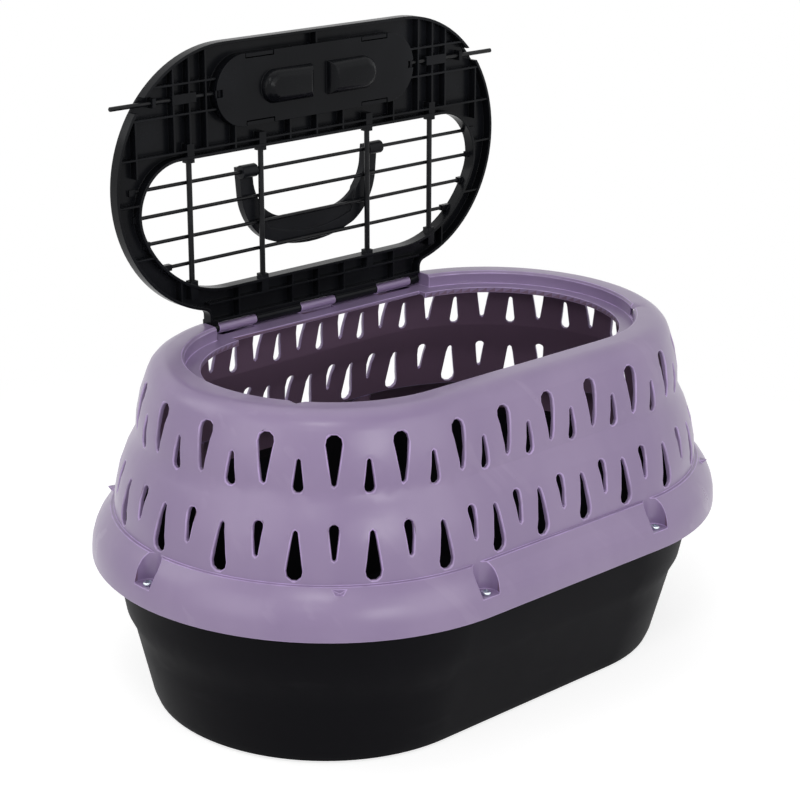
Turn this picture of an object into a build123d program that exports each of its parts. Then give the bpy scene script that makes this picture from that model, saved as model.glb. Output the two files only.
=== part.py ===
from build123d import *
import os
from math import asin, atan, atan2, cos, degrees, pi, radians, sin, sqrt

# Top-load pet carrier, in millimetres. X runs along it, Y towards the hinge side, Z up.
# The origin is the middle of the base on the floor. The lid is drawn open, at its stop.

# Plan: every outline is a straight of this half length with a half circle at each end
half_straight = 88.5

# Base tub, from the floor up
tub_floor_radius = 119.0
tub_toe_radius = 128.4
tub_toe_height = 9.0
tub_toe_corner = 2.6
tub_step_low_radius = 141.2
tub_step_low_z = 62.0
tub_step_high_radius = 146.5
tub_step_high_z = 72.5
tub_rim_radius = 154.6
tub_rim_z = 120.5
tub_wall = 3.0
tub_flange_thickness = 6.4
tub_flange_gap = 1.2
tub_recess_margin = 22.0
tub_recess_depth = 1.6

# Upper shell, from the skirt up to the ledge that the lid lies on
shell_wall = 3.0
skirt_radius = 170.0
skirt_z = 114.0
skirt_upright = 4.0
skirt_bulge = 3.6
skirt_top_radius = 156.2
low_tier_radius = 153.6
low_crease_z = 148.4
low_tier_bulge = 4.0
high_tier_radius = 137.3
high_crease_z = 204.8
high_tier_bulge = 2.15
shoulder_radius = 128.9
shoulder_z = 247.0
shoulder_bulge = 2.9
crown_radius = 114.5
rim_z = 259.5
rebate_radius = 101.8
rebate_break = 1.8
ledge_z = 249.2
ledge_radius = 90.5
ledge_lip_depth = 4.5

# Teardrop vents: columns evenly spaced round the shell, small ones between the large
vent_columns = 26
vent_path_radius = 125.8
vent_ease = 0.35
vent_draft = 0.06
vent_tool_out = 2.5
vent_tool_in = 5.0
vent_big_points = 5
vent_small_points = 2
high_large_vent = {"low": 212.1, "high": 245.7, "wide": 5.4, "narrow": 1.4, "hangs": True}
high_small_vent = {"low": 207.2, "high": 229.9, "wide": 3.4, "narrow": 1.1, "hangs": False}
low_small_vent = {"low": 165.4, "high": 188.3, "wide": 3.2, "narrow": 1.1, "hangs": True}
low_large_vent = {"low": 151.2, "high": 184.3, "wide": 5.4, "narrow": 1.4, "hangs": False}

# Screw pockets in the skirt and the screws in them
screw_inset = 7.2
pocket_radius = 9.6
pocket_wall = 2.6
pocket_floor_z = 128.2
screw_head_radius = 3.6
screw_head_height = 2.4
screw_shank_radius = 1.8
screw_depth_in_tub = 5.6

# Wedges moulded on the skirt's crease
wedge_angle = 38.7
wedge_half_width = 6.5
wedge_reach = 8.0
wedge_drop = 6.0
wedge_top_gap = 1.4
wedge_tip_width = 0.8

# Hinge
hinge_y = 113.0
hinge_rise = 4.4
knuckle_radius = 3.6
pin_radius = 1.3
knuckle_bore_play = 0.03
barrel_bore_play = 0.06
hinge_half_width = 107.4
hinge_side_play = 1.6
middle_knuckle_half = 17.5
outer_knuckle_start = 62.0
outer_knuckle_end = 98.0
knuckle_gap = 0.4
knuckle_room = 5.2
deck_front_y = 97.5
deck_step_x = 96.0
stop_ridge_y = 118.7
deck_window_inset = 1.5
deck_window_back = 0.9

# Lid frame: heights in it are measured up from its underside
open_angle = 91.44
lid_rest_gap = 0.3
lid_edge_play = 2.5
lid_depth = 9.6
lid_plate = 2.4
lid_wall = 2.2
lid_edge_break = 1.2
flange_fillet = 6.0
rib_thickness = 1.5
rib_start = 0.8
latch_rib_places = (105.5, 120.6, 135.0)
latch_rib_offset = 11.0
front_rib = 24.0
front_rib_places = (26.4, 79.0)
side_rib_front = 10.0
side_rib_back = 9.0
side_rib_x = 169.0
back_rib = 49.0
corner_rib_x = 132.5
hinge_rib = 93.0
window_radius = 82.0
window_front = 18.0
window_corner = 36.0

# Grille
cross_bar_radius = 2.1
cross_bar_height = 4.0
cross_bar_places = (-120.7, -53.4, 53.4, 120.7)
long_bar_radius = 1.4
bar_contact_gap = 0.1
long_bar_places = (0.0, 20.0, 40.0, 60.0)
bar_seat = 5.0
bar_play = 0.05
bar_boss_half = 3.3
bar_boss_reach = 3.0
bar_boss_root = 11.0
wire_boss_half = 2.3
wire_boss_reach = (3.0, 3.0, 4.0, 7.0)

# Latch under the lid: a cover, two sliders with finger tabs, two rods and two springs
latch_forward = 62.2
cover_half_straight = 71.4
cover_radius = 26.6
cover_thickness = 1.5
cover_seat_play = 0.3
cover_seat_wall = 1.8
cup_start = 7.5
cup_end = 56.5
cup_half_width = 13.0
cup_depth = 8.0
cup_wall = 1.6
cup_taper = 12.0
cup_crown = 4.5
cup_crown_steps = ((0.6, 40.0), (0.4, 62.0))
well_start = 9.5
well_end = 54.5
well_half_width = 11.0
cover_slot_play = 1.0
clip_start = 44.0
clip_end = 69.6
clip_inner = 23.6
clip_play = 0.8
rod_radius = 1.7
rod_height = 3.84
rod_tip = 188.9
rod_tip_break = 0.6
rod_root = 80.0
rod_play = 0.3
rod_notch_half = 5.2
rod_sleeve_start = 114.5
rod_sleeve_end = 136.0
rod_boss_start = 150.5
rod_boss_end = 153.5
latch_travel = 22.0
slider_play = 0.3
slider_thickness = 2.0
slider_inner = 26.0
slider_plate_end = 74.0
slider_outer = 94.4
slider_half_width = 14.0
slider_window_end = 54.0
slider_window_half = 10.0
tab_start = 32.5
tab_thickness = 2.5
tab_half_width = 8.0
tab_depth = 3.8
slider_boss_half = 3.4
spring_offset = 19.0
spring_radius = 2.4
spring_seat = 44.0
spring_lug_thickness = 3.0
spring_lug_half = 3.0
spring_lug_root = 12.0

# Catch holes for the rods in the shell's rebate
catch_half_width = 4.0
catch_low_play = 2.8
catch_roof = 3.0
catch_ramp_start = 1.5
catch_ramp = 5.0
catch_tip_room = 0.6

# Carry handle: a bail on the middle wire, lying over the grille
barrel_radius = 5.0
barrel_start = 56.2
barrel_end = 70.2
barrel_play = 0.08
handle_lift = 0.4
handle_thickness = 7.0
handle_top_half = 69.4
handle_side = (67.6, 18.0)
handle_turn = (60.5, 40.0)
handle_corner = (44.0, 55.8)
handle_drop = 64.5
handle_band = 10.0
grip_top_half = 57.2
grip_side = (56.0, 11.0)
grip_turn = (46.8, 29.5)
grip_end = (28.0, 40.5)
grip_recess = 1.5

# Sizes that follow from the ones above
screw_radius_out = skirt_radius - screw_inset
lid_radius = rebate_radius - lid_edge_play
lid_z = ledge_z + lid_rest_gap
hinge_z = lid_z + hinge_rise
long_bar_height = cross_bar_height + cross_bar_radius + bar_contact_gap + long_bar_radius
flange_end_y = hinge_y - knuckle_room
handle_low = long_bar_height + long_bar_radius + handle_lift
vent_pitch = (4 * half_straight + 2 * pi * vent_path_radius) / vent_columns


def section_plane():
    """A plane across the carrier's front wall: its own x is the distance from the middle line, its y is height."""
    return Plane(origin=(half_straight, 0, 0), x_dir=(0, -1, 0), z_dir=(-1, 0, 0))


def bulged(start, end, bulge):
    """An arc from start to end that stands out from its chord by bulge, to the right of the way up."""
    run, rise = end[0] - start[0], end[1] - start[1]
    length = sqrt(run * run + rise * rise)
    middle = (
        (start[0] + end[0]) / 2 + rise / length * bulge,
        (start[1] + end[1]) / 2 - run / length * bulge,
    )
    return ThreePointArc(start, middle, end)


def chords(start, end, bulge, count):
    """The same arc as a run of straight chords, which keeps the ends' surfaces plain cones."""
    arc = bulged(start, end, bulge)
    points = [arc @ (i / count) for i in range(count + 1)]
    return Polyline(*[(point.X, point.Y) for point in points])


def round_plan(section):
    """The ring or bowl that a section in section_plane makes round the stadium plan."""
    face = section_plane() * section
    end = revolve(face, axis=Axis((half_straight, 0, 0), (0, 0, 1)), revolution_arc=180)
    side = extrude(face, 2 * half_straight)
    other_end = mirror(end, about=Plane.YZ)
    other_side = mirror(side, about=Plane.XZ)
    return end.fuse(side, other_end, other_side).clean()


def stadium(radius, half=half_straight):
    """A flat stadium shape."""
    return SlotCenterToCenter(2 * half, 2 * radius)


def block(low, high):
    """A box between two corners."""
    size = [b - a for a, b in zip(low, high)]
    middle = [(a + b) / 2 for a, b in zip(low, high)]
    return Pos(*middle) * Box(*size)


def rod_x(radius, start, end, y, z):
    """A cylinder along X."""
    return Pos((start + end) / 2, y, z) * Rot(0, 90, 0) * Cylinder(radius, abs(end - start))


def rod_y(radius, start, end, x, z):
    """A cylinder along Y."""
    return Pos(x, (start + end) / 2, z) * Rot(90, 0, 0) * Cylinder(radius, abs(end - start))


def both_sides(shape):
    """A shape and its mirror image across the middle."""
    return [shape, mirror(shape, about=Plane.YZ)]


def shared(shape, zone):
    """The solids that two shapes have in common."""
    return list(shape.intersect(zone).solids())


# Walls of the upper shell


def inset(point, lean):
    """The point of the inner wall under an outer point whose outward direction leans up by an angle in radians."""
    return (point[0] - shell_wall * cos(lean), point[1] - shell_wall * sin(lean))


skirt_edge = (skirt_radius, skirt_z)
skirt_turn = (skirt_radius, skirt_z + skirt_upright)
skirt_top = (skirt_top_radius, low_crease_z)
low_tier_foot = (low_tier_radius, low_crease_z)
high_tier_foot = (high_tier_radius, high_crease_z)
shoulder = (shoulder_radius, shoulder_z)
crown = (crown_radius, rim_z)
rebate_top = (rebate_radius + rebate_break, rim_z)
rebate_start = (rebate_radius, rim_z - rebate_break)
rebate_foot = (rebate_radius, ledge_z)
ledge_edge = (ledge_radius, ledge_z)
lip_end = (ledge_radius, ledge_z - ledge_lip_depth)


def outer_wall():
    """The outer line of the shell's section, from the skirt's edge to the ledge's lip."""
    return [
        Line(skirt_edge, skirt_turn),
        chords(skirt_turn, skirt_top, skirt_bulge, 5),
        Line(skirt_top, low_tier_foot),
        chords(low_tier_foot, high_tier_foot, low_tier_bulge, 4),
        chords(high_tier_foot, shoulder, high_tier_bulge, 3),
        chords(shoulder, crown, shoulder_bulge, 4),
        Line(crown, rebate_top),
        Line(rebate_top, rebate_start),
        Line(rebate_start, rebate_foot),
        Line(rebate_foot, ledge_edge),
        Line(ledge_edge, lip_end),
    ]


def under_middle(start, end, bulge):
    """The point of the inner wall under the middle of a bulged tier."""
    middle = bulged(start, end, bulge) @ 0.5
    return inset((middle.X, middle.Y), atan2(start[0] - end[0], end[1] - start[1]))


def under_end(start, end, bulge):
    """The point of the inner wall under the upper end of a bulged tier."""
    lean = atan2(start[0] - end[0], end[1] - start[1])
    length = sqrt((start[0] - end[0]) ** 2 + (end[1] - start[1]) ** 2)
    return inset(end, lean + 2 * atan(2 * bulge / length))


def hollow_section():
    """The room inside the shell as a closed section: its sides are drafted in straight lines."""
    hollow = rebate_radius + shell_wall
    sides = Polyline(
        (0, skirt_z - 1),
        (skirt_edge[0] - shell_wall, skirt_z - 1),
        inset(skirt_turn, 0),
        under_middle(skirt_turn, skirt_top, skirt_bulge),
        under_end(skirt_turn, skirt_top, skirt_bulge),
        (low_tier_foot[0] - shell_wall, low_crease_z),
        under_middle(low_tier_foot, high_tier_foot, low_tier_bulge),
        under_end(low_tier_foot, high_tier_foot, low_tier_bulge),
        (high_tier_foot[0] - shell_wall, high_crease_z),
        under_middle(high_tier_foot, shoulder, high_tier_bulge),
        under_end(high_tier_foot, shoulder, high_tier_bulge),
        under_middle(shoulder, crown, shoulder_bulge),
        (crown[0] - shell_wall * 0.4, rim_z - shell_wall),
        (hollow, rim_z - shell_wall),
        (hollow, ledge_z - shell_wall),
        (ledge_radius + shell_wall, ledge_z - shell_wall),
        (ledge_radius + shell_wall, ledge_z - ledge_lip_depth),
        (0, ledge_z - ledge_lip_depth),
        (0, skirt_z - 1),
    )
    return make_face(sides)


def mouth_section():
    """The opening that the lid closes, from the ledge's lip to above the rim."""
    return make_face(
        Polyline(
            (0, ledge_z - ledge_lip_depth - 1),
            (ledge_radius, ledge_z - ledge_lip_depth - 1),
            ledge_edge,
            rebate_foot,
            rebate_start,
            rebate_top,
            (rebate_top[0], rim_z + 1),
            (0, rim_z + 1),
            (0, ledge_z - ledge_lip_depth - 1),
        )
    )


def filled_section():
    """Everything inside the shell's outer line, up to its crown, as a closed section."""
    lines = outer_wall()[:6]
    closing = Polyline(crown, (0, rim_z), (0, skirt_z), skirt_edge)
    return make_face(lines + [closing])


def outer_radius(z):
    """How far out the shell's outer line is at a height."""
    for curve in outer_wall()[1:6]:
        low, high = curve @ 0, curve @ 1
        if low.Y <= z <= high.Y:
            start, end = 0.0, 1.0
            for _ in range(30):
                middle = (start + end) / 2
                if (curve @ middle).Y < z:
                    start = middle
                else:
                    end = middle
            return (curve @ start).X
    return skirt_radius


# Vents


def teardrop(wide, narrow, length, grow):
    """Corner points of a teardrop grown by an amount: its wide end up, its middle at the origin."""
    spread = length - wide - narrow
    lean = asin((wide - narrow) / spread)
    wide_y = length / 2 - wide
    narrow_y = narrow - length / 2
    points = []
    for i in range(vent_big_points + 1):
        turn = -lean + i * (pi + 2 * lean) / vent_big_points
        points.append(((wide + grow) * cos(turn), wide_y + (wide + grow) * sin(turn)))
    for i in range(vent_small_points + 1):
        turn = pi + lean + i * (pi - 2 * lean) / vent_small_points
        points.append(((narrow + grow) * cos(turn), narrow_y + (narrow + grow) * sin(turn)))
    return points


def vent_tool(kind):
    """The cutter of one vent, drafted through the wall. It points along its Z."""
    low_r, high_r = outer_radius(kind["low"]), outer_radius(kind["high"])
    rise = kind["high"] - kind["low"]
    length = sqrt(rise * rise + (low_r - high_r) ** 2)
    turn = 1 if kind["hangs"] else -1
    rings = []
    for depth in (vent_tool_out, -vent_tool_in):
        points = teardrop(kind["wide"], kind["narrow"], length, vent_ease + vent_draft * depth)
        rings.append([Vector(turn * x, turn * y, depth) for x, y in points])
    upper, lower = rings
    faces = [Face(Wire.make_polygon(ring)) for ring in rings]
    for i in range(len(upper)):
        j = (i + 1) % len(upper)
        faces.append(Face(Wire.make_polygon([upper[i], upper[j], lower[j], lower[i]])))
    return Solid(Shell(faces))


def place_on_wall(along, z, radius, tilt):
    """The place on the shell's wall at a distance round the vents' path from the front's middle."""
    quarter = half_straight + pi * vent_path_radius / 2
    steps, rest = divmod(along + quarter, 2 * quarter)
    place = rest - quarter
    if abs(place) <= half_straight:
        x, turn = place, 0.0
        centre = Pos(x, 0, z)
    else:
        turn = (abs(place) - half_straight) / vent_path_radius
        turn = turn if place > 0 else -turn
        centre = Pos(half_straight if place > 0 else -half_straight, 0, z)
    half_turn = Rot(0, 0, 180 * (steps % 2))
    return half_turn * centre * Rot(0, 0, degrees(turn)) * Pos(0, -radius, 0) * Rot(90 - tilt, 0, 0)


def vents():
    """All the vent cutters."""
    tools = []
    for kind, shift in (
        (high_large_vent, 0.0),
        (high_small_vent, 0.5),
        (low_small_vent, 0.0),
        (low_large_vent, 0.5),
    ):
        tool = vent_tool(kind)
        middle = (kind["low"] + kind["high"]) / 2
        fall = outer_radius(kind["low"]) - outer_radius(kind["high"])
        tilt = degrees(atan2(fall, kind["high"] - kind["low"]))
        for i in range(vent_columns):
            where = place_on_wall((i + shift) * vent_pitch, middle, outer_radius(middle), tilt)
            tools.append(where * tool)
    return tools


# Screws between the two halves


def screw_places():
    """Where the screws stand: two in each long side and one in each end."""
    places = [(x, y * screw_radius_out) for x in (-half_straight, half_straight) for y in (-1, 1)]
    return places + [(x * (half_straight + screw_radius_out), 0.0) for x in (-1, 1)]


def upright(radius, low, high, place):
    """An upright cylinder at a place."""
    return Pos(place[0], place[1], (low + high) / 2) * Cylinder(radius, high - low)


def make_screws():
    """The case screws: flat heads on plain shanks."""
    screws = []
    for place in screw_places():
        head = upright(screw_head_radius, pocket_floor_z, pocket_floor_z + screw_head_height, place)
        shank = upright(screw_shank_radius, tub_rim_z - screw_depth_in_tub, pocket_floor_z, place)
        screws.append(head.fuse(shank).solid())
    return Compound(screws)


def make_tub():
    """The lower half: a flared bowl with a step and a flat rim flange that takes the screws."""
    floor_edge = (tub_floor_radius, 0)
    toe = (tub_toe_radius, tub_toe_height)
    step_low = (tub_step_low_radius, tub_step_low_z)
    step_high = (tub_step_high_radius, tub_step_high_z)
    flange_z = tub_rim_z - tub_flange_thickness
    flange_radius = skirt_radius - shell_wall - tub_flange_gap
    outer = make_face(
        Polyline(
            (0, 0),
            floor_edge,
            (tub_toe_radius - tub_toe_corner, tub_toe_corner),
            toe,
            step_low,
            step_high,
            (tub_rim_radius, flange_z),
            (flange_radius, flange_z),
            (flange_radius, tub_rim_z),
            (0, tub_rim_z),
            (0, 0),
        )
    )
    inner = make_face(
        Polyline(
            (0, tub_wall),
            (tub_floor_radius, tub_wall),
            (tub_step_low_radius - tub_wall, tub_step_low_z),
            (tub_step_high_radius - tub_wall, tub_step_high_z),
            (tub_rim_radius - tub_wall, tub_rim_z),
            (tub_rim_radius - tub_wall, tub_rim_z + 5),
            (0, tub_rim_z + 5),
            (0, tub_wall),
        )
    )
    recess = extrude(stadium(tub_floor_radius - tub_recess_margin), tub_recess_depth)
    tub = round_plan(outer).cut(round_plan(inner), recess)
    holes = []
    for place in screw_places():
        holes.append(upright(screw_shank_radius, tub_rim_z - screw_depth_in_tub, tub_rim_z + 1, place))
    return tub.cut(*holes).solid()


def make_wedge(side, back):
    """A small pointed wedge on the skirt's crease, flat on top."""
    turn = radians(wedge_angle)
    out = Vector(side * sin(turn), back * cos(turn), 0)
    up = Vector(0, 0, 1)
    tip = wedge_tip_width / 2
    shape = Solid.make_wedge(
        2 * wedge_half_width,
        wedge_reach,
        wedge_drop,
        wedge_half_width - tip,
        wedge_drop - 2 * tip,
        wedge_half_width + tip,
        wedge_drop,
    )
    root = skirt_top_radius - 1.0
    along = out.cross(up)
    corner = Vector(side * half_straight, 0, 0) + out * root - along * wedge_half_width
    corner = corner + up * (low_crease_z - wedge_top_gap - wedge_drop)
    return Location(Plane(origin=corner, x_dir=along, z_dir=up)) * shape


def make_shell():
    """The upper half, with its hinge seat, knuckles, catch holes, pockets and vents."""
    filled = round_plan(filled_section())
    half_cut = hinge_half_width + hinge_side_play
    deck_low = ledge_z - shell_wall
    # What stays solid in the hollow: the deck under the hinge, the walls round it and the screw posts
    kept = [
        block((-half_cut, deck_front_y, deck_low), (half_cut, skirt_radius, ledge_z)),
        block((-half_cut, stop_ridge_y, deck_low), (half_cut, stop_ridge_y + shell_wall, rim_z)),
    ]
    kept += both_sides(block((half_cut, 0, deck_low), (half_cut + shell_wall, skirt_radius, rim_z)))
    for place in screw_places():
        kept.append(upright(pocket_radius + pocket_wall, tub_rim_z, low_crease_z + 1, place))
    hollow = round_plan(hollow_section()).cut(*kept)
    mouth = round_plan(mouth_section())
    cuts = [
        block((-half_cut, deck_front_y - 10, ledge_z), (half_cut, stop_ridge_y, rim_z + 5)),
        block((-deck_step_x, 60, deck_low - ledge_lip_depth), (deck_step_x, deck_front_y, ledge_z + 1)),
    ]
    shell = filled.cut(hollow).cut(mouth).cut(*cuts)
    added = [make_wedge(side, back) for side in (-1, 1) for back in (-1, 1)]
    web_back = hinge_y + knuckle_radius
    drills = []
    seen_under = hinge_y - knuckle_radius
    for start, end in (
        (-middle_knuckle_half, middle_knuckle_half),
        (outer_knuckle_start, outer_knuckle_end),
        (-outer_knuckle_end, -outer_knuckle_start),
    ):
        added.append(rod_x(knuckle_radius, start, end, hinge_y, hinge_z))
        added.append(block((start, hinge_y + 1, ledge_z - 1), (end, web_back, hinge_z)))
        drills.append(rod_x(pin_radius + knuckle_bore_play, start - 1, end + 1, hinge_y, hinge_z))
        near, far = start + deck_window_inset, end - deck_window_inset
        drills.append(block((near, seen_under, deck_low - 1), (far, hinge_y + deck_window_back, ledge_z + 0.1)))
    for place in screw_places():
        drills.append(upright(pocket_radius, pocket_floor_z, low_crease_z + 14, place))
        drills.append(upright(screw_shank_radius, tub_rim_z - 1, pocket_floor_z + 1, place))
    shell = shell.fuse(*added).cut(*drills).cut(*catch_cuts())
    return shell.cut(*vents()).solid()


def catch_cuts():
    """The cutters of the rods' holes in the rebate, each with its ramp down from the rim."""
    rod_z = lid_z + rod_height
    roof = rim_z - catch_roof
    wall_x = half_straight + sqrt(rebate_radius**2 - latch_forward**2)
    near, far = -latch_forward + catch_half_width, -latch_forward - catch_half_width
    hole = block(
        (wall_x - 6, far, rod_z - catch_low_play),
        (wall_x + shell_wall + 6, near, roof),
    )
    ramp = make_face(
        Polyline(
            (wall_x - 6, roof - 0.1),
            (wall_x + catch_ramp_start, roof - 0.1),
            (wall_x + catch_ramp_start + catch_ramp, rim_z + 0.1),
            (wall_x - 6, rim_z + 0.1),
            (wall_x - 6, roof - 0.1),
        )
    )
    slope = Pos(0, near, 0) * extrude(Plane.XZ * ramp, 2 * catch_half_width)
    room = rod_radius + catch_tip_room
    tip = block(
        (wall_x + shell_wall, -latch_forward - room, rod_z - room),
        (rod_tip + catch_tip_room, -latch_forward + room, rod_z + room),
    )
    return both_sides(hole) + both_sides(slope) + both_sides(tip)


# Lid, drawn closed and then swung open


def swing_open(shape):
    """Turn a piece of the lid from closed to open about the hinge pin."""
    return Pos(0, hinge_y, hinge_z) * Rot(-open_angle, 0, 0) * Pos(0, -hinge_y, -hinge_z) * shape


def lid_outline():
    """The lid's plan: a stadium with a straight flange towards the hinge."""
    flange = Pos(0, flange_end_y / 2) * Rectangle(2 * hinge_half_width, flange_end_y)
    plan = stadium(lid_radius) + flange
    inner_corners = [
        v for v in plan.vertices() if v.Y > 60 and v.Y < flange_end_y - 1 and abs(abs(v.X) - hinge_half_width) < 1
    ]
    return fillet(inner_corners, flange_fillet)


def window_outline():
    """The grille opening: a stadium cut straight across at the front, with rounded corners."""
    keep = Pos(0, window_radius - window_front) * Rectangle(4 * window_radius + 2 * half_straight, 2 * window_radius)
    plan = stadium(window_radius) & keep
    corners = [v for v in plan.vertices() if v.Y < -window_front + 1]
    return fillet(corners, window_corner)


def lid_level(height):
    """The height of the closed lid's level, counted from its underside."""
    return lid_z + height


def slab(plan, low, high):
    """A plan shape extruded between two levels of the lid."""
    return extrude(Pos(0, 0, lid_level(low)) * plan, high - low)


def rib(x0, y0, x1, y1):
    """One straight rib under the lid's plate."""
    length = sqrt((x1 - x0) ** 2 + (y1 - y0) ** 2)
    turn = degrees(atan2(y1 - y0, x1 - x0))
    height = lid_depth - lid_plate + 0.5 - rib_start
    middle = Pos((x0 + x1) / 2, (y0 + y1) / 2, lid_level(rib_start + height / 2))
    return middle * Rot(0, 0, turn) * Box(length, rib_thickness, height)


def rib_lines():
    """Where the ribs run, on the right half: x, y to x, y, with y against the front."""
    front = -lid_radius
    side = half_straight + lid_radius
    latch_end = cover_half_straight + cover_radius - 2
    seat_back = -latch_forward + cover_radius - 2
    lines = [(x, -front_rib, x, front) for x in latch_rib_places]
    for offset in (-latch_rib_offset, latch_rib_offset):
        lines.append((latch_end, -latch_forward + offset, side, -latch_forward + offset))
    lines.append((side_rib_x, -latch_forward + latch_rib_offset, side_rib_x, -side_rib_front))
    lines.append((0.0, -front_rib, side, -front_rib))
    lines.append((half_straight, side_rib_back, side, side_rib_back))
    lines.append((half_straight, back_rib, side, back_rib))
    lines.append((corner_rib_x, 0.0, corner_rib_x, lid_radius))
    for x in front_rib_places:
        lines.append((x, -window_front, x, seat_back))
        lines.append((x, window_radius, x, flange_end_y))
    lines.append((0.0, hinge_rib, hinge_half_width, hinge_rib))
    return lines


def window_reach(y):
    """Half the grille opening's length at a distance behind the lid's middle."""
    return half_straight + sqrt(window_radius**2 - y**2)


def cross_bar_ends(x):
    """Where a cross bar's sockets face the opening: front and back."""
    over = max(abs(x) - half_straight, 0)
    return -window_front, sqrt(window_radius**2 - over**2)


def make_lid_frame():
    """The lid's moulding: plate, walls, ribs, sockets, latch seat and hinge barrels."""
    outline = lid_outline()
    window = window_outline()
    frame = slab(outline, 0, lid_depth)
    top_edges = frame.faces().sort_by(Axis.Z)[-1].edges()
    frame = chamfer(top_edges, lid_edge_break)
    cavity = slab(offset(outline, -lid_wall), -1, lid_depth - lid_plate)
    window_wall = slab(offset(window, lid_wall), 0, lid_depth - 1)
    seat_plan = Pos(0, -latch_forward) * stadium(cover_radius - cover_seat_play, cover_half_straight)
    well_radius = cover_radius - cover_seat_play - cover_seat_wall
    well_plan = Pos(0, -latch_forward) * stadium(well_radius, cover_half_straight)
    seat = slab(seat_plan, 0, lid_depth - 1)
    inner_zone = slab(offset(outline, -lid_wall / 2), rib_start - 1, lid_depth - 1)
    ribs = []
    for x0, y0, x1, y1 in rib_lines():
        ribs.append(rib(x0, y0, x1, y1))
        if x0 > 1 or x1 > 1:
            ribs.append(rib(-x0, y0, -x1, y1))
    ribs.append(rib(0, window_radius, 0, flange_end_y))
    ribs.append(rib(0, -window_front, 0, -latch_forward + cover_radius - 2))
    ribs.append(rib(0, -lid_radius, 0, -latch_forward - cover_radius + 2))
    rod_z = lid_level(rod_height)
    channel = rod_radius + 1.9
    for side in (-1, 1):
        for low, high in ((rod_sleeve_start, rod_sleeve_end), (rod_boss_start, rod_boss_end)):
            start, end = sorted((side * low, side * high))
            ribs.append(
                block(
                    (start, -latch_forward - channel, lid_level(rib_start)),
                    (end, -latch_forward + channel, lid_level(lid_depth - 1)),
                )
            )
    ribs = [part for piece in ribs for part in shared(piece, inner_zone)]
    bosses = []
    for x in cross_bar_places:
        front, back = cross_bar_ends(x)
        for face, way in ((front, -1), (back, 1)):
            ends = sorted((face - way * bar_boss_reach, face + way * bar_boss_root))
            low, high = lid_level(rib_start), lid_level(lid_depth - lid_plate + 0.2)
            bosses.append(block((x - bar_boss_half, ends[0], low), (x + bar_boss_half, ends[1], high)))
    for place, reach in zip(long_bar_places, wire_boss_reach):
        face = window_reach(place)
        for side in (-1, 1):
            ends = sorted((side * (face - reach), side * (face + 3)))
            low = lid_level(long_bar_height - wire_boss_half)
            bosses.append(
                block(
                    (ends[0], place - wire_boss_half, low),
                    (ends[1], place + wire_boss_half, lid_level(lid_depth)),
                )
            )
    clips = []
    for side in (-1, 1):
        for way in (-1, 1):
            xs = sorted((side * clip_start, side * clip_end))
            ys = sorted((-latch_forward + way * clip_inner, -latch_forward + way * (cover_radius - cover_seat_play)))
            clips.append(block((xs[0], ys[0], lid_level(-cover_thickness + 0.3)), (xs[1], ys[1], lid_level(8))))
    barrels = []
    gap = knuckle_gap
    for start, end in (
        (middle_knuckle_half + gap, outer_knuckle_start - gap),
        (outer_knuckle_end + gap, hinge_half_width),
    ):
        web = block((start, flange_end_y - lid_wall, hinge_z - 2.0), (end, hinge_y, lid_level(lid_depth)))
        barrels += both_sides(web)
        barrels += both_sides(rod_x(knuckle_radius, start, end, hinge_y, hinge_z))
    frame = frame.cut(cavity).fuse(window_wall, seat)
    frame = frame.cut(slab(well_plan, -1, lid_depth - lid_plate)).fuse(*ribs)
    frame = frame.cut(slab(well_plan, -1, lid_depth - lid_plate)).cut(slab(window, -1, lid_depth + 1))
    frame = frame.fuse(*bosses, *clips, *barrels)
    cuts = [rod_x(pin_radius + barrel_bore_play, -hinge_half_width - 1, hinge_half_width + 1, hinge_y, hinge_z)]
    well = Pos((well_start + well_end) / 2, -latch_forward) * Rectangle(well_end - well_start, 2 * well_half_width)
    well = fillet(well.vertices().sort_by(Axis.X)[-2:], well_half_width - 0.5)
    cuts += both_sides(slab(well, 0, lid_depth + 1))
    notch = block(
        (rod_boss_start, -latch_forward - rod_notch_half, lid_level(-1)),
        (half_straight + lid_radius, -latch_forward + rod_notch_half, lid_level(rod_height + rod_radius + 1.2)),
    )
    wall_only = notch.cut(slab(offset(outline, -lid_wall - 0.2), -2, lid_depth + 2))
    cuts += both_sides(wall_only)
    cuts += both_sides(rod_x(rod_radius + rod_play, slider_outer - 4, rod_tip, -latch_forward, rod_z))
    for x in cross_bar_places:
        front, back = cross_bar_ends(x)
        z = lid_level(cross_bar_height)
        half = cross_bar_radius + bar_play
        cuts.append(block((x - half, front - bar_seat, z - half), (x + half, back + bar_seat, z + half)))
    for place in long_bar_places:
        end = window_reach(place) + bar_seat - wire_boss_half
        z = lid_level(long_bar_height)
        half = long_bar_radius + bar_play
        cuts.append(block((-end, place - half, z - half), (end, place + half, z + half)))
    return frame.cut(*cuts).solid()


def make_cross_bar(x):
    """One bar across the grille."""
    front, back = cross_bar_ends(x)
    seat = bar_seat - bar_play
    return rod_y(cross_bar_radius, front - seat, back + seat, x, lid_level(cross_bar_height))


def make_long_bar(place):
    """One wire along the grille."""
    end = window_reach(place) + bar_seat - wire_boss_half - bar_play
    return rod_x(long_bar_radius, -end, end, place, lid_level(long_bar_height))


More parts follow.
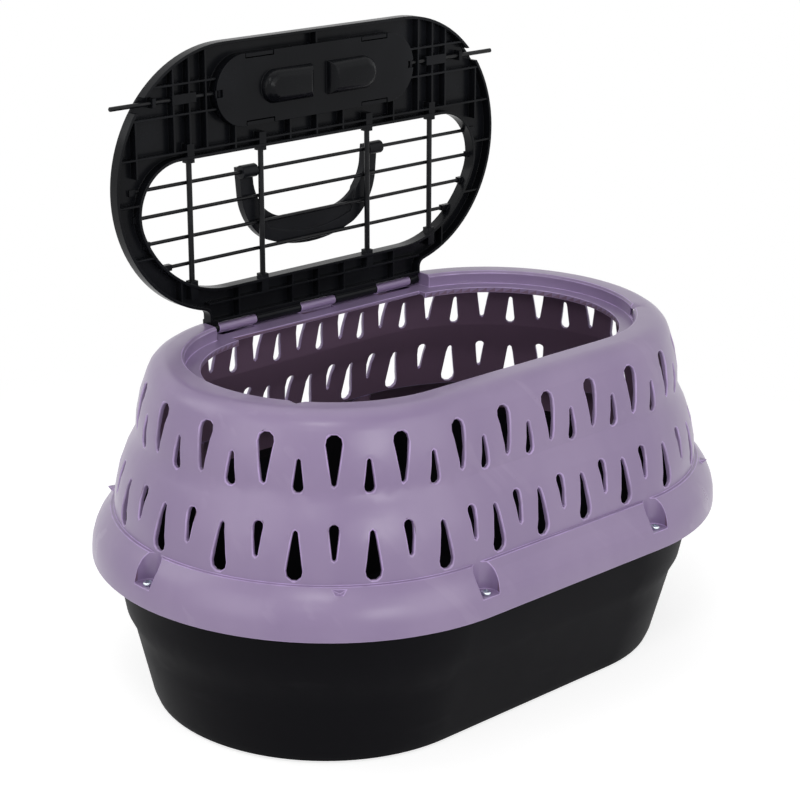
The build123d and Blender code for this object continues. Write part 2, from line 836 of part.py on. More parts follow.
def make_cover():
    """The latch's cover: a plate with two finger cups, clip notches and slots for the rods."""
    plan = Pos(0, -latch_forward) * stadium(cover_radius, cover_half_straight)
    plate = slab(plan, -cover_thickness, 0)
    cups = []
    hollows = []
    for side in (-1, 1):
        depth = cup_depth + cover_thickness
        cups.append(cup_solid(side, 0.0, depth))
        hollows.append(cup_solid(side, cup_wall, depth - cup_wall))
    cuts = []
    for side in (-1, 1):
        for way in (-1, 1):
            xs = sorted((side * (clip_start - clip_play), side * (clip_end + clip_play)))
            inner = -latch_forward + way * (clip_inner - clip_play)
            ys = sorted((inner, -latch_forward + way * (cover_radius + 1)))
            cuts.append(block((xs[0], ys[0], lid_level(-3)), (xs[1], ys[1], lid_level(1))))
        xs = sorted((side * (cover_half_straight + cover_radius - 6), side * (cover_half_straight + cover_radius + 1)))
        slot = rod_radius + cover_slot_play
        cuts.append(
            block(
                (xs[0], -latch_forward - slot, lid_level(-3)),
                (xs[1], -latch_forward + slot, lid_level(1)),
            )
        )
    return plate.fuse(*cups).cut(*hollows, *cuts).solid()


def cup_solid(side, margin, depth):
    """A finger cup's solid below the cover: round at its outer end, flat at its inner one."""
    start, end = cup_start + margin, cup_end - margin
    half = cup_half_width - margin
    plan = Rectangle(end - start, 2 * half)
    plan = fillet(plan.vertices().sort_by(Axis.X)[-2:], half - 0.4)
    plan = Pos((start + end) / 2, 0) * plan
    straight = depth - cup_crown
    body = extrude(Rot(180, 0, 0) * plan, straight, taper=cup_taper)
    for share, taper in cup_crown_steps:
        foot = body.faces().sort_by(Axis.Z)[0]
        body = body.fuse(extrude(foot, cup_crown * share, taper=taper)).solid()
    body = Pos(0, -latch_forward, lid_level(0)) * body
    return body if side > 0 else mirror(body, about=Plane.YZ)


def make_slider():
    """The right slider, at rest: a plate with a finger window, a tab, spring lugs and the rod's socket."""
    top = lid_depth - lid_plate - slider_play
    low = top - slider_thickness
    y = -latch_forward
    plate = block(
        (slider_inner, y - slider_half_width, lid_level(low)),
        (slider_plate_end, y + slider_half_width, lid_level(top)),
    )
    tail = block(
        (slider_plate_end - 4, y - slider_boss_half * 2, lid_level(low)),
        (slider_outer, y + slider_boss_half * 2, lid_level(top)),
    )
    socket = block(
        (rod_root - 4, y - slider_boss_half, lid_level(rod_height - slider_boss_half + 0.2)),
        (slider_outer, y + slider_boss_half, lid_level(top)),
    )
    tab = block(
        (tab_start, y - tab_half_width, lid_level(-tab_depth)),
        (tab_start + tab_thickness, y + tab_half_width, lid_level(top)),
    )
    pieces = [tail, socket, tab]
    for way in (-1, 1):
        middle = y + way * spring_offset
        pieces.append(
            block(
                (spring_seat, middle - spring_lug_half, lid_level(0.6)),
                (spring_seat + spring_lug_thickness, middle + spring_lug_half, lid_level(top)),
            )
        )
        ys = sorted((y + way * (slider_half_width - 1), middle + way * spring_lug_half))
        root = spring_seat + spring_lug_root
        pieces.append(block((spring_seat, ys[0], lid_level(low)), (root, ys[1], lid_level(top))))
    window = block(
        (tab_start + tab_thickness, y - slider_window_half, lid_level(low - 1)),
        (slider_window_end, y + slider_window_half, lid_level(top + 1)),
    )
    bore = rod_x(rod_radius + bar_play, rod_root, slider_outer + 1, y, lid_level(rod_height))
    return plate.fuse(*pieces).cut(window, bore).solid()


def make_rod():
    """The right latch rod with its rounded tip."""
    rod = rod_x(rod_radius, rod_root + bar_play, rod_tip, -latch_forward, lid_level(rod_height))
    tip = rod.faces().sort_by(Axis.X)[-1]
    return chamfer(tip.edges(), rod_tip_break).solid()


def make_spring(way):
    """One latch spring between the two sliders, as the rod that its turns fill."""
    end = spring_seat - slider_play
    return rod_x(spring_radius, -end, end, -latch_forward + way * spring_offset, lid_level(rod_height - 0.1))


def make_handle():
    """The carry handle: a U-shaped bail on the middle wire, with a thinner web inside its grip."""
    top = -barrel_radius * 0.5
    outer = (
        Line((handle_top_half, top), handle_side),
        ThreePointArc(handle_side, handle_turn, handle_corner),
        ThreePointArc(handle_corner, (0, handle_drop), left_of(handle_corner)),
        ThreePointArc(left_of(handle_corner), left_of(handle_turn), left_of(handle_side)),
        Line(left_of(handle_side), (-handle_top_half, top)),
    )
    inner = (
        Line((-handle_top_half, top), (-grip_top_half, top)),
        Line((-grip_top_half, top), left_of(grip_side)),
        ThreePointArc(left_of(grip_side), left_of(grip_turn), left_of(grip_end)),
        Line(left_of(grip_end), grip_end),
        ThreePointArc(grip_end, grip_turn, grip_side),
        Line(grip_side, (grip_top_half, top)),
        Line((grip_top_half, top), (handle_top_half, top)),
    )
    high = handle_low + handle_thickness
    bail = slab(make_face([*outer, *inner]), handle_low, high)
    web_end = (handle_corner[0] - handle_band * 0.2, handle_corner[1] - handle_band * 0.9)
    web = make_face(
        [
            ThreePointArc(web_end, (0, handle_drop - handle_band), left_of(web_end)),
            Line(left_of(web_end), left_of(grip_turn)),
            Line(left_of(grip_turn), (-grip_end[0], grip_end[1] - 5)),
            Line((-grip_end[0], grip_end[1] - 5), (grip_end[0], grip_end[1] - 5)),
            Line((grip_end[0], grip_end[1] - 5), grip_turn),
            Line(grip_turn, web_end),
        ]
    )
    recesses = (
        slab(web, handle_low - 1, handle_low + grip_recess),
        slab(web, high - grip_recess, high + 1),
    )
    z = lid_level(long_bar_height)
    barrels = both_sides(rod_x(barrel_radius, barrel_start, barrel_end, 0, z))
    bores = both_sides(rod_x(long_bar_radius + barrel_play, barrel_start - 1, barrel_end + 1, 0, z))
    return bail.cut(*recesses).fuse(*barrels).cut(*bores).solid()


def left_of(point):
    """The same point on the left side."""
    return (-point[0], point[1])


def make_pin():
    """The hinge pin."""
    end = hinge_half_width + 0.4
    return rod_x(pin_radius, -end, end, hinge_y, hinge_z)


def all_pieces():
    """Every piece by its node's name, with the lid open."""
    pieces = {
        "base_tub": make_tub(),
        "upper_shell": make_shell(),
        "case_screws": make_screws(),
        "hinge_pin": make_pin(),
        "lid_frame": swing_open(make_lid_frame()),
        "latch_cover": swing_open(make_cover()),
        "carry_handle": swing_open(make_handle()),
    }
    for number, place in enumerate(long_bar_places, 1):
        pieces[f"long_bar_{number}"] = swing_open(make_long_bar(place))
    for number, x in enumerate(cross_bar_places, 1):
        pieces[f"cross_bar_{number}"] = swing_open(make_cross_bar(x))
    for name, piece in (("slider", make_slider()), ("rod", make_rod())):
        pieces[f"right_{name}"] = swing_open(piece)
        pieces[f"left_{name}"] = swing_open(mirror(piece, about=Plane.YZ))
    pieces["front_latch_spring"] = swing_open(make_spring(-1))
    pieces["back_latch_spring"] = swing_open(make_spring(1))
    return pieces


os.makedirs("parts", exist_ok=True)
for node, piece in all_pieces().items():
    export_step(piece, f"parts/{node}.step")
    print(node, "volume", round(piece.volume), "solids", len(piece.solids()))
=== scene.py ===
from functools import cached_property
from math import cos, pi, radians, sin

import bmesh
import bpy
from mathutils import Matrix, Vector


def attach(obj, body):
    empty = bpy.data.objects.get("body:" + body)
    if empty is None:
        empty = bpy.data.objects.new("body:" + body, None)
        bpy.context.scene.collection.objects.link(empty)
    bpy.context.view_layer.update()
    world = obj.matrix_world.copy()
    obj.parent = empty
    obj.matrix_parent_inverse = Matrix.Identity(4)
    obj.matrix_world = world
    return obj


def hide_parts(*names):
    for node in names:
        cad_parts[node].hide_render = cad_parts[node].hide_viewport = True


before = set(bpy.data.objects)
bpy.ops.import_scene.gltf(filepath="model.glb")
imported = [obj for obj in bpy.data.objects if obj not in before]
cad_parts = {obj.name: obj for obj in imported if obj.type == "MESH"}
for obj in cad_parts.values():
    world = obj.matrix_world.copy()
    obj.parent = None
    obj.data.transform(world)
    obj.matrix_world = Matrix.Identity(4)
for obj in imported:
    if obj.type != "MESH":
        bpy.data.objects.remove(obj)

bl_info = {
    "name": "Top-load pet carrier",
    "version": (1, 0, 0),
    "blender": (4, 5, 0),
    "location": "View3D > Sidebar > Carrier",
    "description": "Dresses the carrier's solids and lights them",
    "category": "Object",
}


# Sizes and colours that a user can change


class CarrierSizes(bpy.types.PropertyGroup):
    """Sizes of the pieces that are added to the solids."""

    head_radius: bpy.props.FloatProperty(
        name="Screw head radius", description="Radius of a case screw's head",
        default=0.0036, unit="LENGTH",
    )
    head_height: bpy.props.FloatProperty(
        name="Screw head height", description="Height of a case screw's head",
        default=0.0024, unit="LENGTH",
    )
    head_seat: bpy.props.FloatProperty(
        name="Screw seat", description="Height of the pockets' floors",
        default=0.1282, unit="LENGTH",
    )
    screw_radius_out: bpy.props.FloatProperty(
        name="Screw row", description="How far the screws stand from the plan's spine",
        default=0.1628, unit="LENGTH",
    )
    half_straight: bpy.props.FloatProperty(
        name="Half straight", description="Half the straight part of the plan",
        default=0.0885, unit="LENGTH",
    )
    lip_width: bpy.props.FloatProperty(
        name="Vent lip", description="Width of the rounding round the vents",
        default=0.0010, unit="LENGTH",
    )
    edge_break: bpy.props.FloatProperty(
        name="Edge break", description="Width of the rounding on the mouldings' edges",
        default=0.0005, unit="LENGTH",
    )
    rib_break: bpy.props.FloatProperty(
        name="Rib break", description="Width of the rounding on the lid's ribs",
        default=0.0003, unit="LENGTH",
    )
    vents_low: bpy.props.FloatProperty(
        name="Vents from", description="Height below which no vent starts",
        default=0.1495, unit="LENGTH",
    )
    vents_high: bpy.props.FloatProperty(
        name="Vents to", description="Height above which no vent ends",
        default=0.2475, unit="LENGTH",
    )


class CarrierColours(bpy.types.PropertyGroup):
    """Colours of the materials."""

    shell: bpy.props.FloatVectorProperty(
        name="Shell", description="Lilac plastic", subtype="COLOR", size=3,
        default=(0.292, 0.214, 0.376),
    )
    # Also the base of the painted highlight on the vents' lips and the shell's rounded edges
    shell_pale: bpy.props.FloatVectorProperty(
        name="Shell, pale", description="Paler streaks of the lilac plastic",
        subtype="COLOR", size=3,
        default=(0.338, 0.254, 0.420),
    )
    # Painted shade: a darker, redder lilac for the shell's inner faces, standing in for the shade
    # inside the shell
    shell_inner_shade: bpy.props.FloatVectorProperty(
        name="Shell, inside", description="The shell's inner side", subtype="COLOR", size=3,
        default=(0.228, 0.144, 0.225),
    )
    tub: bpy.props.FloatVectorProperty(
        name="Tub", description="Matt black plastic", subtype="COLOR", size=3,
        default=(0.0054, 0.0052, 0.0066),
    )
    lid: bpy.props.FloatVectorProperty(
        name="Lid", description="Satin black plastic", subtype="COLOR", size=3,
        default=(0.0044, 0.0048, 0.0062),
    )
    wire: bpy.props.FloatVectorProperty(
        name="Wire", description="Black coat of the grille", subtype="COLOR", size=3,
        default=(0.0044, 0.0047, 0.0058),
    )
    zinc: bpy.props.FloatVectorProperty(
        name="Zinc", description="Plated steel", subtype="COLOR", size=3,
        default=(0.60, 0.65, 0.69),
    )


# Vertices of a solid's copy that are this near, in metres, become one
WELD = 0.00002
# Faces that turn less than this are made one
FLAT = radians(0.5)
# Edges sharper than this are rounded
SHARP = radians(40)
# Edges that turn less than this are shaded smooth
SMOOTH = radians(28)
BEVEL_STEPS = 2

# How far a face leans outward: on the shell's outside, on a vent's side and on the shell's inside
OUTSIDE_LEAN = 0.75
VENT_SIDE_LEAN = 0.6
INSIDE_LEAN = -0.25

# A screw head's rounding, and its recess's length, width and depth, as shares of its size
HEAD_ROUNDING = 0.42
RECESS_LENGTH = 1.25
RECESS_WIDTH = 0.26
RECESS_DEPTH = 0.9
FIRST_SCREW_TURN = 0.4
NEXT_SCREW_TURN = 1.1

# The floor's shadow is kept as far as the first distance and gone at the second, in metres
SHADOW_FADE = (0.34, 0.75)
FLOOR_SIZE = 30.0
FLOOR_GREY = 0.90
SHADOW_GREY = 0.62
SHADOW_GLOW = 0.74
WORLD_LIGHT = 0.22

# Camera: direction and roll in degrees, place that it looks at and distance in metres
CAMERA_AZIMUTH = -43.869
CAMERA_ELEVATION = 19.266
CAMERA_ROLL = 1.139
CAMERA_TARGET = (0.103109, 0.124526, 0.148048)
CAMERA_DISTANCE = 1.793435
CAMERA_SENSOR = 36.0
CAMERA_LENS = 97.8925

LAMP_TARGET = (0.0, 0.0, 0.2)

# The studio's lamps: name, place, width and power in watts
LAMPS = (
    ("front_lamp", (0.4, -2.6, 1.2), 2.0, 15.5),
    ("band_lamp", (-0.75, -2.5, 0.9), 0.7, 8.0),
    ("key_lamp", (-1.4, -1.2, 2.2), 0.6, 8.0),
    ("right_lamp", (2.2, -1.4, 1.5), 1.8, 2.6),
    ("top_lamp", (0.1, 0.3, 2.6), 2.2, 9.5),
    ("back_lamp", (-1.8, 1.6, 1.9), 1.6, 15.0),
    ("left_lamp", (-2.6, -0.2, 1.1), 1.6, 10.0),
    ("small_lamp", (-1.9, -1.5, 1.4), 0.10, 1.5),
)


# Shader helpers


class Wire:
    """A shader value that can be used in sums."""

    def __init__(self, paint, socket):
        self.paint = paint
        self.socket = socket

    def maths(self, operation, *others):
        return self.paint.node("ShaderNodeMath", [self, *others], operation=operation)

    def __add__(self, other):
        return self.maths("ADD", other)

    def __sub__(self, other):
        return self.maths("SUBTRACT", other)

    def __mul__(self, other):
        return self.maths("MULTIPLY", other)

    __radd__ = __add__

    def between(self, low, high):
        """0 at the low value, 1 at the high value and a smooth step between them."""
        return self.paint.node(
            "ShaderNodeMapRange", [self, low, high], interpolation_type="SMOOTHSTEP"
        )


class Paint:
    """The nodes of a material or of the world."""

    def __init__(self, owner):
        owner.use_nodes = True
        self.owner = owner
        self.tree = owner.node_tree

    @cached_property
    def place(self):
        return self.node("ShaderNodeTexCoord", [], output="Object")

    def node(self, kind, inputs, output=0, **settings):
        node = self.tree.nodes.new(kind)
        for name, value in settings.items():
            setattr(node, name, value)
        if isinstance(inputs, list):
            inputs = dict(enumerate(inputs))
        for key, value in inputs.items():
            self.feed(node.inputs[key], value)
        return Wire(self, node.outputs[output])

    def feed(self, socket, value):
        if isinstance(value, Wire):
            self.tree.links.new(value.socket, socket)
        else:
            socket.default_value = value

    def noise(self, scale, detail=3.0, stretch=(1.0, 1.0, 1.0), place=None):
        """A noise, stretched where a scale is below 1. It reads the object's place by default."""
        where = self.node("ShaderNodeMapping", {"Vector": place or self.place, "Scale": stretch})
        inputs = {"Vector": where, "Scale": scale, "Detail": detail}
        return self.node("ShaderNodeTexNoise", inputs)

    def mix(self, share, first, second):
        inputs = {0: share, 6: first, 7: second}
        return self.node("ShaderNodeMix", inputs, output=2, data_type="RGBA")

    def bump(self, height, distance, strength, normal=None):
        inputs = {"Height": height, "Distance": distance, "Strength": strength}
        if normal is not None:
            inputs["Normal"] = normal
        return self.node("ShaderNodeBump", inputs)

    def set(self, **values):
        """Sets the plain shader's values and gives the material."""
        shader = self.tree.nodes["Principled BSDF"]
        for name, value in values.items():
            self.feed(shader.inputs[name.replace("_", " ")], value)
        return self.owner

    def show(self, output, surface):
        """Shows a shader instead of the plain one, and gives the material or the world."""
        self.feed(self.tree.nodes[output].inputs["Surface"], surface)
        return self.owner


def material_paint(name):
    return Paint(bpy.data.materials.new(name))


def rgba(colour):
    return (*colour, 1.0)


def grey(level):
    return (level, level, level, 1.0)


def shell_paint(colours):
    """Lilac plastic with a pearly satin surface, faint flow streaks and painted shade on its
    inner side.
    """
    paint = material_paint("shell_plastic")
    cloud = paint.noise(9.0, 4.0)
    streak = paint.noise(22.0, 3.0, (1.0, 1.0, 0.16))
    lean = {"Vector": paint.place, "Rotation": (0.5, 0.6, 0.0)}
    leaning = paint.node("ShaderNodeMapping", lean)
    lines = paint.noise(70.0, 2.0, (1.0, 1.0, 0.06), leaning)
    flow = lines.between(0.60, 0.68) * cloud.between(0.50, 0.60)
    share = (cloud * 0.45 + streak * 0.55).between(0.38, 0.66) * 0.8 + flow * 0.5
    colour = paint.mix(share, rgba(colours.shell), rgba(colours.shell_pale))
    # Painted shade: the inner faces get the darker, redder inside colour, standing in for the
    # shade inside the shell
    inner = paint.node("ShaderNodeAttribute", [], output="Fac", attribute_name="inner")
    colour = paint.mix(inner, colour, rgba(colours.shell_inner_shade))
    fine = paint.noise(900.0, 2.0)
    broad = paint.noise(38.0, 2.0)
    rough = 0.27 + broad * 0.10 + fine * 0.05 - flow * 0.06
    normal = paint.bump(broad, 0.0006, 0.10)
    normal = paint.bump(fine, 0.00006, 0.35, normal)
    return paint.set(
        Base_Color=colour,
        Roughness=rough,
        Normal=normal,
        IOR=1.5,
        Coat_Weight=0.25,
        Coat_Roughness=0.22,
    )


def lip_highlight_paint(colours):
    """The rounding round the vents, a little paler than the shell: a painted highlight on the
    rounded rims.
    """
    paint = material_paint("shell_lip_highlight")
    cloud = paint.noise(60.0, 3.0)
    # Painted highlight: a colour nearly twice as light as the shell's, mixed with the pale lilac
    # over the rounded rims
    edge = rgba([min(value * 1.8, 0.9) for value in colours.shell])
    colour = paint.mix(cloud.between(0.2, 0.7), rgba(colours.shell_pale), edge)
    rough = 0.28 + cloud * 0.12
    return paint.set(Base_Color=colour, Roughness=rough, IOR=1.5, Coat_Weight=0.12)


def tub_paint(colours):
    """Matt black plastic with a fine moulded grain and faint scuffs."""
    paint = material_paint("tub_plastic")
    cloud = paint.noise(7.0, 5.0)
    scuff = paint.noise(60.0, 6.0, (0.25, 0.25, 1.0)).between(0.60, 0.80)
    pale = rgba([value * 1.7 + 0.003 for value in colours.tub])
    colour = paint.mix(cloud * 0.5 + scuff * 0.3, rgba(colours.tub), pale)
    fine = paint.noise(1300.0, 2.0)
    broad = paint.noise(30.0, 3.0)
    rough = 0.40 + fine * 0.10 + broad * 0.10 - scuff * 0.05
    normal = paint.bump(broad, 0.0008, 0.10)
    normal = paint.bump(fine, 0.00010, 0.55, normal)
    return paint.set(
        Base_Color=colour, Roughness=rough, Normal=normal, Specular_IOR_Level=0.03
    )


def lid_paint(colours, name, gloss):
    """Satin black plastic, as the lid, the latch and the handle."""
    paint = material_paint(name)
    cloud = paint.noise(14.0, 4.0)
    pale = rgba([value * 1.8 + 0.002 for value in colours.lid])
    colour = paint.mix(cloud.between(0.35, 0.75), rgba(colours.lid), pale)
    fine = paint.noise(1100.0, 2.0)
    broad = paint.noise(55.0, 3.0)
    rough = gloss + fine * 0.08 + broad * 0.12
    normal = paint.bump(broad, 0.0005, 0.12)
    normal = paint.bump(fine, 0.00005, 0.35, normal)
    return paint.set(
        Base_Color=colour, Roughness=rough, Normal=normal, Specular_IOR_Level=0.11
    )


def wire_paint(colours):
    """Black coated wire."""
    paint = material_paint("coated_wire")
    cloud = paint.noise(120.0, 3.0)
    pale = rgba([value * 2.0 + 0.002 for value in colours.wire])
    colour = paint.mix(cloud.between(0.4, 0.8), rgba(colours.wire), pale)
    normal = paint.bump(cloud, 0.00010, 0.3)
    rough = 0.26 + cloud * 0.15
    return paint.set(
        Base_Color=colour, Roughness=rough, Normal=normal, Specular_IOR_Level=0.20
    )


def zinc_paint(colours):
    """Zinc plate with fine machining marks."""
    paint = material_paint("zinc_plate")
    grain = paint.noise(700.0, 3.0, (1.0, 1.0, 5.0))
    cloud = paint.noise(300.0, 2.0)
    pale = rgba([min(value * 1.15, 0.9) for value in colours.zinc])
    colour = paint.mix(cloud, rgba(colours.zinc), pale)
    normal = paint.bump(grain, 0.00004, 0.4)
    rough = 0.16 + grain * 0.2
    return paint.set(Base_Color=colour, Roughness=rough, Metallic=1.0, Normal=normal)


def outward(place, half_straight):
    """The level direction away from the carrier's middle line at a place."""
    x = place.x - max(-half_straight, min(half_straight, place.x))
    return Vector((x, place.y, 0.0)).normalized()


def weigh_edges(piece, sizes):
    """Marks how wide each sharp edge is rounded: the vents' rims fully, the others a little."""
    mesh = bmesh.new()
    mesh.from_mesh(piece.data)
    weight = mesh.edges.layers.float.new("bevel_weight_edge")
    low, high = sizes.vents_low, sizes.vents_high
    for edge in mesh.edges:
        if len(edge.link_faces) != 2 or edge.calc_face_angle(0.0) < SHARP:
            continue
        edge[weight] = sizes.edge_break / sizes.lip_width
        middle = (edge.verts[0].co + edge.verts[1].co) / 2
        if low < middle.z < high:
            out = outward(middle, sizes.half_straight)
            facing = sorted(face.normal.dot(out) for face in edge.link_faces)
            if facing[1] > OUTSIDE_LEAN and abs(facing[0]) < VENT_SIDE_LEAN:
                edge[weight] = 1.0
    mesh.to_mesh(piece.data)
    mesh.free()


def mark_inner_shade(piece, sizes):
    """Notes for each face whether it is on the shell's inner side, below the lid's ledge, where
    the shell gets its painted shade.
    """
    inner = piece.data.attributes.new("inner", "FLOAT", "FACE")
    for face in piece.data.polygons:
        facing = face.normal.dot(outward(face.center, sizes.half_straight))
        inside = facing < INSIDE_LEAN and face.center.z < sizes.vents_high
        inner.data[face.index].value = float(inside)


def soften(name, piece_name, body, slot, materials, width, weigh=None, flatten=True):
    """A copy of a moulding with its edges rounded, which stands for the solid.

    The rounding gets the last of the materials; on the shell that is the painted highlight. Where
    sizes are given to weigh, the vents' rims get the whole width and other sharp edges the edge
    break.
    """
    choose(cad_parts[name])
    bpy.ops.object.duplicate()
    piece = bpy.context.active_object
    bpy.ops.object.mode_set(mode="EDIT")
    bpy.ops.mesh.select_all(action="SELECT")
    bpy.ops.mesh.remove_doubles(threshold=WELD)
    if flatten:
        bpy.ops.mesh.dissolve_limited(angle_limit=FLAT)
    bpy.ops.object.mode_set(mode="OBJECT")
    piece.name = piece_name
    piece.data.name = piece_name
    piece.data.materials.clear()
    for material in materials:
        piece.data.materials.append(material)
    settings = {"limit_method": "ANGLE", "angle_limit": SHARP}
    if weigh:
        weigh_edges(piece, weigh)
        settings = {"limit_method": "WEIGHT"}
    settings.update(segments=BEVEL_STEPS, use_clamp_overlap=False, material=len(materials) - 1)
    add_modifier(piece, "BEVEL", width=width, **settings)
    add_modifier(piece, "TRIANGULATE")
    bpy.ops.object.shade_smooth_by_angle(angle=SMOOTH)
    add_modifier(piece, "WEIGHTED_NORMAL", weight=90, keep_sharp=True)
    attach(piece, body)
    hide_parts(name)
    return piece


def seen_straight(paint):
    """1 for the rays that show the background: the camera's, and those in metal and glass."""
    camera, glossy, through = (
        paint.node("ShaderNodeLightPath", [], output=f"Is {kind} Ray")
        for kind in ("Camera", "Glossy", "Transmission")
    )
    rays = [camera + glossy, through]
    return paint.node("ShaderNodeMath", rays, operation="ADD", use_clamp=True)


def floor_paint():
    """A white floor that keeps a soft shadow near the carrier and is pure white farther off."""
    paint = material_paint("floor_white")
    plain = paint.node("ShaderNodeBsdfDiffuse", {"Color": grey(FLOOR_GREY)})
    shaded = paint.node("ShaderNodeBsdfDiffuse", {"Color": grey(SHADOW_GREY)})
    glow = paint.node("ShaderNodeEmission", {"Strength": SHADOW_GLOW})
    near = paint.node("ShaderNodeAddShader", [shaded, glow])
    far = paint.node("ShaderNodeEmission", {"Strength": 1.0})
    distance = paint.node(
        "ShaderNodeVectorMath", [paint.place], output="Value", operation="LENGTH"
    )
    shown = paint.node("ShaderNodeMixShader", [distance.between(*SHADOW_FADE), near, far])
    mixed = paint.node("ShaderNodeMixShader", [seen_straight(paint), plain, shown])
    return paint.show("Material Output", mixed)


def studio_world():
    """A weak even light that shows as white."""
    paint = Paint(bpy.data.worlds.new("studio"))
    light = paint.node("ShaderNodeBackground", {"Color": grey(1.0), "Strength": WORLD_LIGHT})
    white = paint.node("ShaderNodeBackground", {"Color": grey(1.0), "Strength": 1.0})
    mixed = paint.node("ShaderNodeMixShader", [seen_straight(paint), light, white])
    return paint.show("World Output", mixed)


def dress(names, material):
    """Gives CAD nodes a material."""
    for name in names:
        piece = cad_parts[name]
        for slot in piece.material_slots:
            slot.material = material
        if not piece.material_slots:
            piece.data.materials.append(material)


# Modelling helpers


def choose(piece):
    """Makes one object the only selected and the active one."""
    bpy.ops.object.select_all(action="DESELECT")
    piece.select_set(True)
    bpy.context.view_layer.objects.active = piece


def settle(piece, name, material):
    """Names a piece, moves its place into its mesh and gives it a material."""
    choose(piece)
    bpy.ops.object.transform_apply(location=True, rotation=True, scale=True)
    piece.name = name
    piece.data.name = name
    piece.data.materials.clear()
    piece.data.materials.append(material)
    return piece


def add_modifier(piece, kind, **settings):
    """Adds a modifier to a piece and applies it."""
    choose(piece)
    bpy.ops.object.modifier_add(type=kind)
    modifier = piece.modifiers[-1]
    for name, value in settings.items():
        setattr(modifier, name, value)
    bpy.ops.object.modifier_apply(modifier=modifier.name)


def merge(pieces):
    """Joins pieces into the first."""
    bpy.ops.object.select_all(action="DESELECT")
    for piece in pieces:
        piece.select_set(True)
    bpy.context.view_layer.objects.active = pieces[0]
    bpy.ops.object.join()
    return pieces[0]


def copy_to(piece, place, turn):
    """A copy of a piece, moved and turned about Z."""
    choose(piece)
    bpy.ops.object.duplicate()
    copy = bpy.context.active_object
    copy.rotation_euler = (0.0, 0.0, turn)
    copy.location = place
    return copy


def place_camera():
    """The camera at the photograph's viewing angle."""
    azimuth, elevation = radians(CAMERA_AZIMUTH), radians(CAMERA_ELEVATION)
    roll = radians(CAMERA_ROLL)
    level = cos(elevation)
    back = Vector((sin(azimuth) * level, -cos(azimuth) * level, sin(elevation)))
    right = Vector((cos(azimuth), sin(azimuth), 0.0))
    up = back.cross(right)
    right_rolled = right * cos(roll) + up * sin(roll)
    up_rolled = up * cos(roll) - right * sin(roll)
    turn = Matrix((right_rolled, up_rolled, back)).transposed().to_euler()
    place = Vector(CAMERA_TARGET) + back * CAMERA_DISTANCE
    bpy.ops.object.camera_add(location=place, rotation=turn)
    camera = bpy.context.active_object
    camera.name = "camera"
    camera.data.sensor_width = CAMERA_SENSOR
    camera.data.lens = CAMERA_LENS
    return camera


# Operators, one for each group of pieces


class CARRIER_OT_shell(bpy.types.Operator):
    """Finish the lilac upper shell with its vents' lips"""

    bl_idname = "carrier.shell"
    bl_label = "Finish the upper shell"

    def execute(self, context):
        colours, sizes = context.scene.carrier_colours, context.scene.carrier_sizes
        materials = [shell_paint(colours), lip_highlight_paint(colours)]
        names = ("upper_shell", "shell_moulding", "case", "shell")
        shell = soften(*names, materials, sizes.lip_width, weigh=sizes)
        mark_inner_shade(shell, sizes)
        return {"FINISHED"}


class CARRIER_OT_tub(bpy.types.Operator):
    """Finish the black tub"""

    bl_idname = "carrier.tub"
    bl_label = "Finish the tub"

    def execute(self, context):
        paint = tub_paint(context.scene.carrier_colours)
        width = context.scene.carrier_sizes.edge_break
        soften("base_tub", "tub_moulding", "case", "tub", [paint], width)
        return {"FINISHED"}


class CARRIER_OT_lid(bpy.types.Operator):
    """Finish the lid's frame and the latch's cover"""

    bl_idname = "carrier.lid"
    bl_label = "Finish the lid"

    def execute(self, context):
        paint = lid_paint(context.scene.carrier_colours, "lid_plastic", 0.15)
        width = context.scene.carrier_sizes.rib_break
        soften("lid_frame", "lid_moulding", "lid", "lid", [paint], width, flatten=False)
        soften("latch_cover", "cover_moulding", "lid", "lid", [paint], width)
        return {"FINISHED"}


class CARRIER_OT_handle(bpy.types.Operator):
    """Finish the carry handle and the latch's sliders"""

    bl_idname = "carrier.handle"
    bl_label = "Finish the handle and the sliders"

    def execute(self, context):
        paint = lid_paint(context.scene.carrier_colours, "handle_plastic", 0.24)
        width = context.scene.carrier_sizes.edge_break
        soften("carry_handle", "handle_moulding", "handle", "handle", [paint], width)
        dress(["left_slider", "right_slider"], paint)
        return {"FINISHED"}


class CARRIER_OT_wires(bpy.types.Operator):
    """Coat the grille's wires and the latch's rods, and plate the pin and the springs"""

    bl_idname = "carrier.wires"
    bl_label = "Coat the wires"

    def execute(self, context):
        colours = context.scene.carrier_colours
        bars = [f"{kind}_bar_{number}" for kind in ("long", "cross") for number in range(1, 5)]
        dress(bars + ["left_rod", "right_rod"], wire_paint(colours))
        dress(["hinge_pin", "front_latch_spring", "back_latch_spring"], zinc_paint(colours))
        return {"FINISHED"}


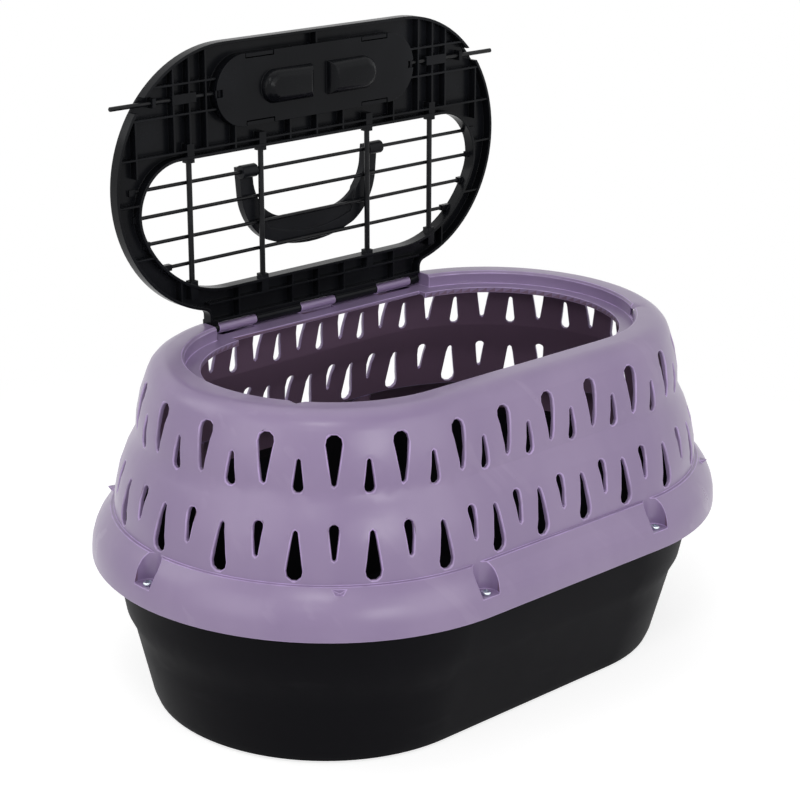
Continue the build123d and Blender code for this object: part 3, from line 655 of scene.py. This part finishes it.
class CARRIER_OT_screws(bpy.types.Operator):
    """Model the case screws' heads with their cross recesses"""

    bl_idname = "carrier.screws"
    bl_label = "Add the case screws"

    def execute(self, context):
        sizes = context.scene.carrier_sizes
        radius, height = sizes.head_radius, sizes.head_height
        bpy.ops.mesh.primitive_cylinder_add(vertices=48, radius=radius, depth=height)
        head = bpy.context.active_object
        rim = {"limit_method": "ANGLE", "angle_limit": radians(60)}
        add_modifier(head, "BEVEL", width=height * HEAD_ROUNDING, segments=5, **rim)
        top = (0.0, 0.0, height / 2)
        for turn in (0.0, pi / 2):
            bpy.ops.mesh.primitive_cube_add(size=1.0, location=top, rotation=(0, 0, turn))
            blade = bpy.context.active_object
            blade.scale = (radius * RECESS_LENGTH, radius * RECESS_WIDTH, height * RECESS_DEPTH)
            add_modifier(head, "BOOLEAN", operation="DIFFERENCE", object=blade, solver="EXACT")
            bpy.data.objects.remove(blade)
        choose(head)
        bpy.ops.object.shade_smooth_by_angle(angle=radians(35))
        out, half = sizes.screw_radius_out, sizes.half_straight
        places = [(x * half, y * out) for x in (-1, 1) for y in (-1, 1)]
        places += [(x * (half + out), 0.0) for x in (-1, 1)]
        level = sizes.head_seat + height / 2
        copies = [
            copy_to(head, (x, y, level), FIRST_SCREW_TURN + NEXT_SCREW_TURN * number)
            for number, (x, y) in enumerate(places)
        ]
        bpy.data.objects.remove(head)
        paint = zinc_paint(context.scene.carrier_colours)
        screws = settle(merge(copies), "screw_heads", paint)
        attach(screws, "case")
        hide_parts("case_screws")
        return {"FINISHED"}


class CARRIER_OT_stage(bpy.types.Operator):
    """Set the floor, the lights and the camera"""

    bl_idname = "carrier.stage"
    bl_label = "Set the carrier's stage"

    def execute(self, context):
        scene = context.scene
        bpy.ops.mesh.primitive_plane_add(size=FLOOR_SIZE, location=(0, 0, 0))
        floor = bpy.context.active_object
        floor.name = "floor"
        floor.data.materials.append(floor_paint())
        for name, place, size, power in LAMPS:
            bpy.ops.object.light_add(type="AREA", location=place)
            lamp = bpy.context.active_object
            lamp.name = name
            lamp.data.size = size
            lamp.data.energy = power
            aim = Vector(LAMP_TARGET) - Vector(place)
            lamp.rotation_euler = aim.to_track_quat("-Z", "Y").to_euler()
        scene.world = studio_world()
        scene.camera = place_camera()
        scene.view_settings.view_transform = "Standard"
        return {"FINISHED"}


class CARRIER_PT_panel(bpy.types.Panel):
    """The carrier's sizes, colours and steps"""

    bl_idname = "CARRIER_PT_panel"
    bl_label = "Pet carrier"
    bl_space_type = "VIEW_3D"
    bl_region_type = "UI"
    bl_category = "Carrier"

    def draw(self, context):
        for group in (context.scene.carrier_sizes, context.scene.carrier_colours):
            for name in group.__annotations__:
                self.layout.prop(group, name)
        for operator in OPERATORS:
            self.layout.operator(operator.bl_idname)


OPERATORS = (
    CARRIER_OT_shell,
    CARRIER_OT_tub,
    CARRIER_OT_lid,
    CARRIER_OT_handle,
    CARRIER_OT_wires,
    CARRIER_OT_screws,
    CARRIER_OT_stage,
)
CLASSES = (CarrierSizes, CarrierColours, *OPERATORS, CARRIER_PT_panel)


def register():
    for item in CLASSES:
        bpy.utils.register_class(item)
    bpy.types.Scene.carrier_sizes = bpy.props.PointerProperty(type=CarrierSizes)
    bpy.types.Scene.carrier_colours = bpy.props.PointerProperty(type=CarrierColours)


def unregister():
    del bpy.types.Scene.carrier_colours
    del bpy.types.Scene.carrier_sizes
    for item in reversed(CLASSES):
        bpy.utils.unregister_class(item)


def plain(box):
    """A box's corners as lists of numbers."""
    return [[float(value) for value in corner] for corner in box]


def main():
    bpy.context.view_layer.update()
    register()
    bpy.ops.carrier.shell()
    bpy.ops.carrier.tub()
    bpy.ops.carrier.lid()
    bpy.ops.carrier.handle()
    bpy.ops.carrier.wires()
    bpy.ops.carrier.screws()
    bpy.ops.carrier.stage()


if __name__ == "__main__":
    main()
